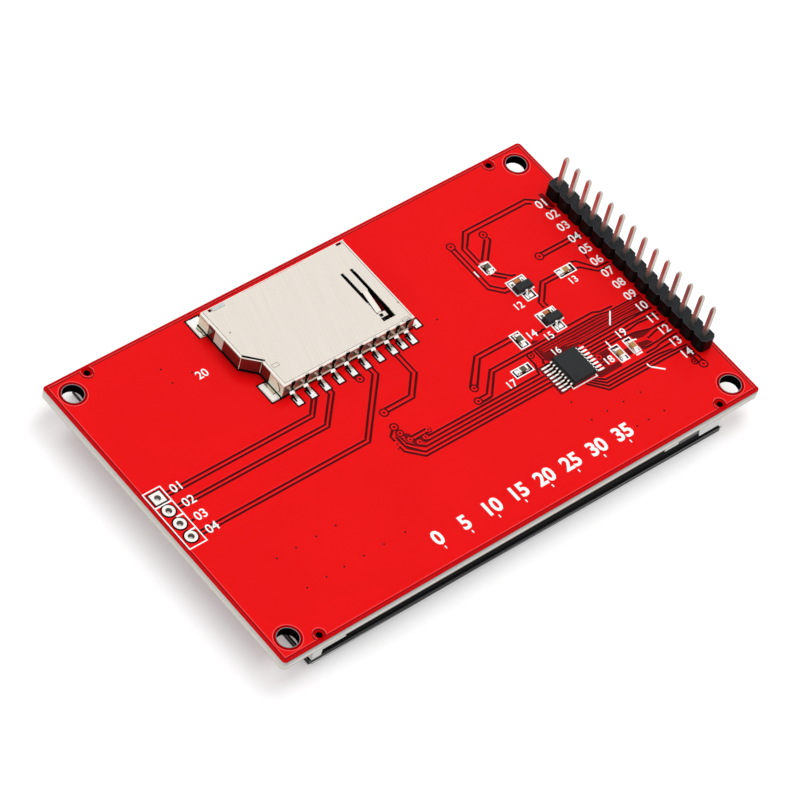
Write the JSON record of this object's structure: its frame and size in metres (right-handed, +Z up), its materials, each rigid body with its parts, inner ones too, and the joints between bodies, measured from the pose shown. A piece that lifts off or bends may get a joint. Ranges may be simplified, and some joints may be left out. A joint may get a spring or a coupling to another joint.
{
  "type": "tft display module",
  "caption": "Colour display module: red circuit board with a folded steel card socket, touch controller and straight pin header on one face and a touch panel with its display on the other.",
  "frame": {"origin": "middle of the board outline, on the face of the touch film that the module lies on", "axes": "+X along the board towards the pin header, +Y towards the mouth of the card socket, +Z up through the board, away from the display face"},
  "size_m": [0.0892, 0.055, 0.0141],
  "materials": {
    "board": "glossy red solder mask on both faces, pale glass-fibre laminate on the edges",
    "tinned_copper": "bright tin over copper",
    "header_plastic": "black moulded nylon, satin",
    "solder": "bright solder",
    "pin_metal": "bright tinned square pins",
    "socket_steel": "pale folded stainless sheet, faint straight grain",
    "socket_plastic": "black moulded plastic",
    "contact_metal": "bright tinned spring strip",
    "package_epoxy": "charcoal moulded epoxy",
    "tinned_lead": "bright tinned leads",
    "capacitor_ceramic": "tan fired ceramic",
    "resistor_coat": "dark coating",
    "touch_film": "dark glossy film over the dark display",
    "panel_glass": "dark polished glass edge",
    "black_tape": "black tape",
    "polariser": "dark film",
    "white_plastic": "white moulded plastic",
    "diffuser_film": "white film",
    "light_guide_acrylic": "clear acrylic sheet",
    "reflector_film": "white reflecting film",
    "lamp_strip": "flex with pale yellow lamps",
    "driver_silicon": "grey polished silicon",
    "polyimide_flex": "amber polyimide flex",
    "foam_tape": "pale foam tape"
  },
  "bodies": {
    "root": {"backlight_frame": "white_plastic", "backlight_strip": "lamp_strip", "capacitor_bodies": "capacitor_ceramic", "card_contact_01": "contact_metal", "card_contact_02": "contact_metal", "card_contact_03": "contact_metal", "card_contact_04": "contact_metal", "card_contact_05": "contact_metal", "card_contact_06": "contact_metal", "card_contact_07": "contact_metal", "card_contact_08": "contact_metal", "card_contact_09": "contact_metal", "card_detect_contact": "contact_metal", "card_header_pads": "tinned_copper", "card_socket_base": "socket_plastic", "card_socket_shell": "socket_steel", "chip_end_caps": "tinned_lead", "circuit_board": "board", "colour_filter_glass": "panel_glass", "diffuser_sheet": "diffuser_film", "display_flex": "polyimide_flex", "driver_chip": "driver_silicon", "front_polariser": "polariser", "header_housing": "header_plastic", "header_pin_01": "pin_metal", "header_pin_02": "pin_metal", "header_pin_03": "pin_metal", "header_pin_04": "pin_metal", "header_pin_05": "pin_metal", "header_pin_06": "pin_metal", "header_pin_07": "pin_metal", "header_pin_08": "pin_metal", "header_pin_09": "pin_metal", "header_pin_10": "pin_metal", "header_pin_11": "pin_metal", "header_pin_12": "pin_metal", "header_pin_13": "pin_metal", "header_pin_14": "pin_metal", "header_solder": "solder", "light_guide": "light_guide_acrylic", "light_shield_tape": "black_tape", "mounting_tape": "foam_tape", "panel_gasket": "black_tape", "rear_polariser": "polariser", "reflector_sheet": "reflector_film", "regulator_body": "package_epoxy", "regulator_leads": "tinned_lead", "resistor_bodies": "resistor_coat", "thin_film_glass": "panel_glass", "touch_controller_body": "package_epoxy", "touch_controller_leads": "tinned_lead", "touch_film": "touch_film", "touch_flex": "polyimide_flex", "touch_glass": "panel_glass", "transistor_body": "package_epoxy", "transistor_leads": "tinned_lead"}
  },
  "joints": []
}
